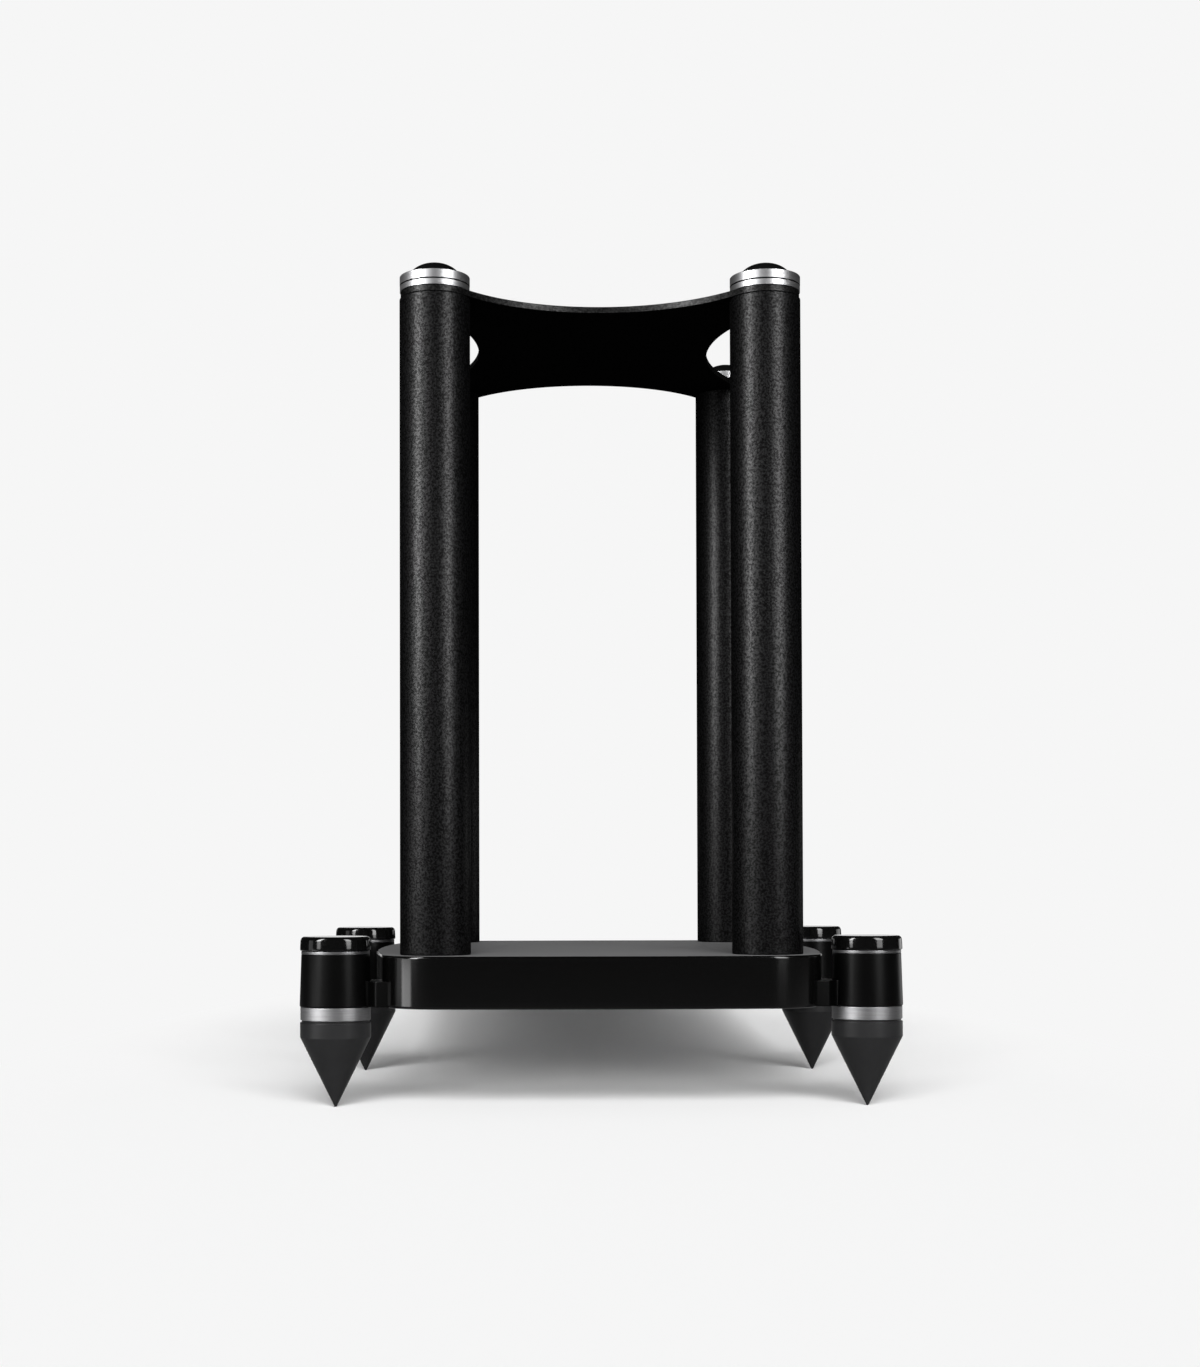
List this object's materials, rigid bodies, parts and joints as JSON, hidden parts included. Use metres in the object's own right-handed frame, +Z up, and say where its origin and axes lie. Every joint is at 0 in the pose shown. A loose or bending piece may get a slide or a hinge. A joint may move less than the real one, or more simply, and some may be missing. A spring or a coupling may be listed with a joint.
{
  "type": "speaker stand",
  "caption": "Low speaker stand: round pillars on a thick bowed base slab, thin lobed top plate with rubber domes, and outrigger feet with adjustable spikes and lock knobs.",
  "frame": {"origin": "middle of the stand on the floor, under the centre of the base slab", "axes": "+Z up, -Y towards the front, +X to the right seen from the front"},
  "size_m": [0.3842, 0.334, 0.5376],
  "materials": {
    "slab_lacquer": "black lacquer on board, gloss on the edges and satin on top",
    "plate_coat": "fine textured black powder coat",
    "pillar_coat": "fine textured black powder coat",
    "plug_aluminium": "turned",
    "turned_aluminium": "finely turned, bright",
    "dome_rubber": "matt black, soft",
    "housing_paint": "satin black",
    "thread_brass": "turned",
    "spike_steel": "dark satin",
    "brushed_ring": "brushed round",
    "stud_steel": "zinc plated",
    "knob_gloss": "high gloss black",
    "black_screws": "black oxide",
    "washer_steel": "satin"
  },
  "bodies": {
    "stand": {"base_slab": "slab_lacquer", "top_plate": "plate_coat", "pillar_tube_front_left": "pillar_coat", "pillar_base_plug_front_left": "plug_aluminium", "pillar_head_plug_front_left": "plug_aluminium", "clamp_ring_front_left": "turned_aluminium", "pad_cup_front_left": "turned_aluminium", "rubber_dome_front_left": "dome_rubber", "foot_housing_front_left": "housing_paint", "foot_bush_front_left": "thread_brass", "pillar_tube_front_right": "pillar_coat", "pillar_base_plug_front_right": "plug_aluminium", "pillar_head_plug_front_right": "plug_aluminium", "clamp_ring_front_right": "turned_aluminium", "pad_cup_front_right": "turned_aluminium", "rubber_dome_front_right": "dome_rubber", "foot_housing_front_right": "housing_paint", "foot_bush_front_right": "thread_brass", "pillar_tube_rear_left": "pillar_coat", "pillar_base_plug_rear_left": "plug_aluminium", "pillar_head_plug_rear_left": "plug_aluminium", "clamp_ring_rear_left": "turned_aluminium", "pad_cup_rear_left": "turned_aluminium", "rubber_dome_rear_left": "dome_rubber", "foot_housing_rear_left": "housing_paint", "foot_bush_rear_left": "thread_brass", "pillar_tube_rear_right": "pillar_coat", "pillar_base_plug_rear_right": "plug_aluminium", "pillar_head_plug_rear_right": "plug_aluminium", "clamp_ring_rear_right": "turned_aluminium", "pad_cup_rear_right": "turned_aluminium", "rubber_dome_rear_right": "dome_rubber", "foot_housing_rear_right": "housing_paint", "foot_bush_rear_right": "thread_brass", "top_screws": "black_screws", "base_bolts": "black_screws", "base_bolt_washers": "black_screws", "arm_screws": "black_screws", "slab_inserts": "thread_brass", "foot_washers": "washer_steel"},
    "stud_front_left": {"spike_stud_front_left": "stud_steel"},
    "spike_front_left": {"spike_front_left": "spike_steel", "spike_ring_front_left": "brushed_ring"},
    "insert_front_left": {"knob_insert_front_left": "thread_brass"},
    "knob_front_left": {"lock_knob_front_left": "knob_gloss"},
    "stud_front_right": {"spike_stud_front_right": "stud_steel"},
    "spike_front_right": {"spike_front_right": "spike_steel", "spike_ring_front_right": "brushed_ring"},
    "insert_front_right": {"knob_insert_front_right": "thread_brass"},
    "knob_front_right": {"lock_knob_front_right": "knob_gloss"},
    "stud_rear_left": {"spike_stud_rear_left": "stud_steel"},
    "spike_rear_left": {"spike_rear_left": "spike_steel", "spike_ring_rear_left": "brushed_ring"},
    "insert_rear_left": {"knob_insert_rear_left": "thread_brass"},
    "knob_rear_left": {"lock_knob_rear_left": "knob_gloss"},
    "stud_rear_right": {"spike_stud_rear_right": "stud_steel"},
    "spike_rear_right": {"spike_rear_right": "spike_steel", "spike_ring_rear_right": "brushed_ring"},
    "insert_rear_right": {"knob_insert_rear_right": "thread_brass"},
    "knob_rear_right": {"lock_knob_rear_right": "knob_gloss"}
  },
  "joints": [
    {"name": "spike_travel_front_left", "type": "slide", "parent": "stand", "child": "stud_front_left", "axis": [0, 0, -1], "range_m": [0, 0.0045]},
    {"name": "spike_turn_front_left", "type": "hinge", "parent": "stud_front_left", "child": "spike_front_left", "pos_m": [-0.1694, -0.1268, 0], "axis": [0, 0, -1], "range_deg": [0, 1080]},
    {"name": "knob_lift_front_left", "type": "slide", "parent": "stand", "child": "insert_front_left", "axis": [0, 0, 1], "range_m": [0, 0.0015]},
    {"name": "knob_turn_front_left", "type": "hinge", "parent": "insert_front_left", "child": "knob_front_left", "pos_m": [-0.1694, -0.1268, 0], "axis": [0, 0, 1], "range_deg": [0, 360]},
    {"name": "spike_travel_front_right", "type": "slide", "parent": "stand", "child": "stud_front_right", "axis": [0, 0, -1], "range_m": [0, 0.0045]},
    {"name": "spike_turn_front_right", "type": "hinge", "parent": "stud_front_right", "child": "spike_front_right", "pos_m": [0.1694, -0.1268, 0], "axis": [0, 0, -1], "range_deg": [0, 1080]},
    {"name": "knob_lift_front_right", "type": "slide", "parent": "stand", "child": "insert_front_right", "axis": [0, 0, 1], "range_m": [0, 0.0015]},
    {"name": "knob_turn_front_right", "type": "hinge", "parent": "insert_front_right", "child": "knob_front_right", "pos_m": [0.1694, -0.1268, 0], "axis": [0, 0, 1], "range_deg": [0, 360]},
    {"name": "spike_travel_rear_left", "type": "slide", "parent": "stand", "child": "stud_rear_left", "axis": [0, 0, -1], "range_m": [0, 0.0045]},
    {"name": "spike_turn_rear_left", "type": "hinge", "parent": "stud_rear_left", "child": "spike_rear_left", "pos_m": [-0.1694, 0.1268, 0], "axis": [0, 0, -1], "range_deg": [0, 1080]},
    {"name": "knob_lift_rear_left", "type": "slide", "parent": "stand", "child": "insert_rear_left", "axis": [0, 0, 1], "range_m": [0, 0.0015]},
    {"name": "knob_turn_rear_left", "type": "hinge", "parent": "insert_rear_left", "child": "knob_rear_left", "pos_m": [-0.1694, 0.1268, 0], "axis": [0, 0, 1], "range_deg": [0, 360]},
    {"name": "spike_travel_rear_right", "type": "slide", "parent": "stand", "child": "stud_rear_right", "axis": [0, 0, -1], "range_m": [0, 0.0045]},
    {"name": "spike_turn_rear_right", "type": "hinge", "parent": "stud_rear_right", "child": "spike_rear_right", "pos_m": [0.1694, 0.1268, 0], "axis": [0, 0, -1], "range_deg": [0, 1080]},
    {"name": "knob_lift_rear_right", "type": "slide", "parent": "stand", "child": "insert_rear_right", "axis": [0, 0, 1], "range_m": [0, 0.0015]},
    {"name": "knob_turn_rear_right", "type": "hinge", "parent": "insert_rear_right", "child": "knob_rear_right", "pos_m": [0.1694, 0.1268, 0], "axis": [0, 0, 1], "range_deg": [0, 360]}
  ],
  "couplings": [
    {"joint": "spike_turn_front_left", "follows": "spike_travel_front_left", "rad_per_m": 4188.8},
    {"joint": "knob_turn_front_left", "follows": "knob_lift_front_left", "rad_per_m": 4188.8},
    {"joint": "spike_turn_front_right", "follows": "spike_travel_front_right", "rad_per_m": 4188.8},
    {"joint": "knob_turn_front_right", "follows": "knob_lift_front_right", "rad_per_m": 4188.8},
    {"joint": "spike_turn_rear_left", "follows": "spike_travel_rear_left", "rad_per_m": 4188.8},
    {"joint": "knob_turn_rear_left", "follows": "knob_lift_rear_left", "rad_per_m": 4188.8},
    {"joint": "spike_turn_rear_right", "follows": "spike_travel_rear_right", "rad_per_m": 4188.8},
    {"joint": "knob_turn_rear_right", "follows": "knob_lift_rear_right", "rad_per_m": 4188.8}
  ]
}
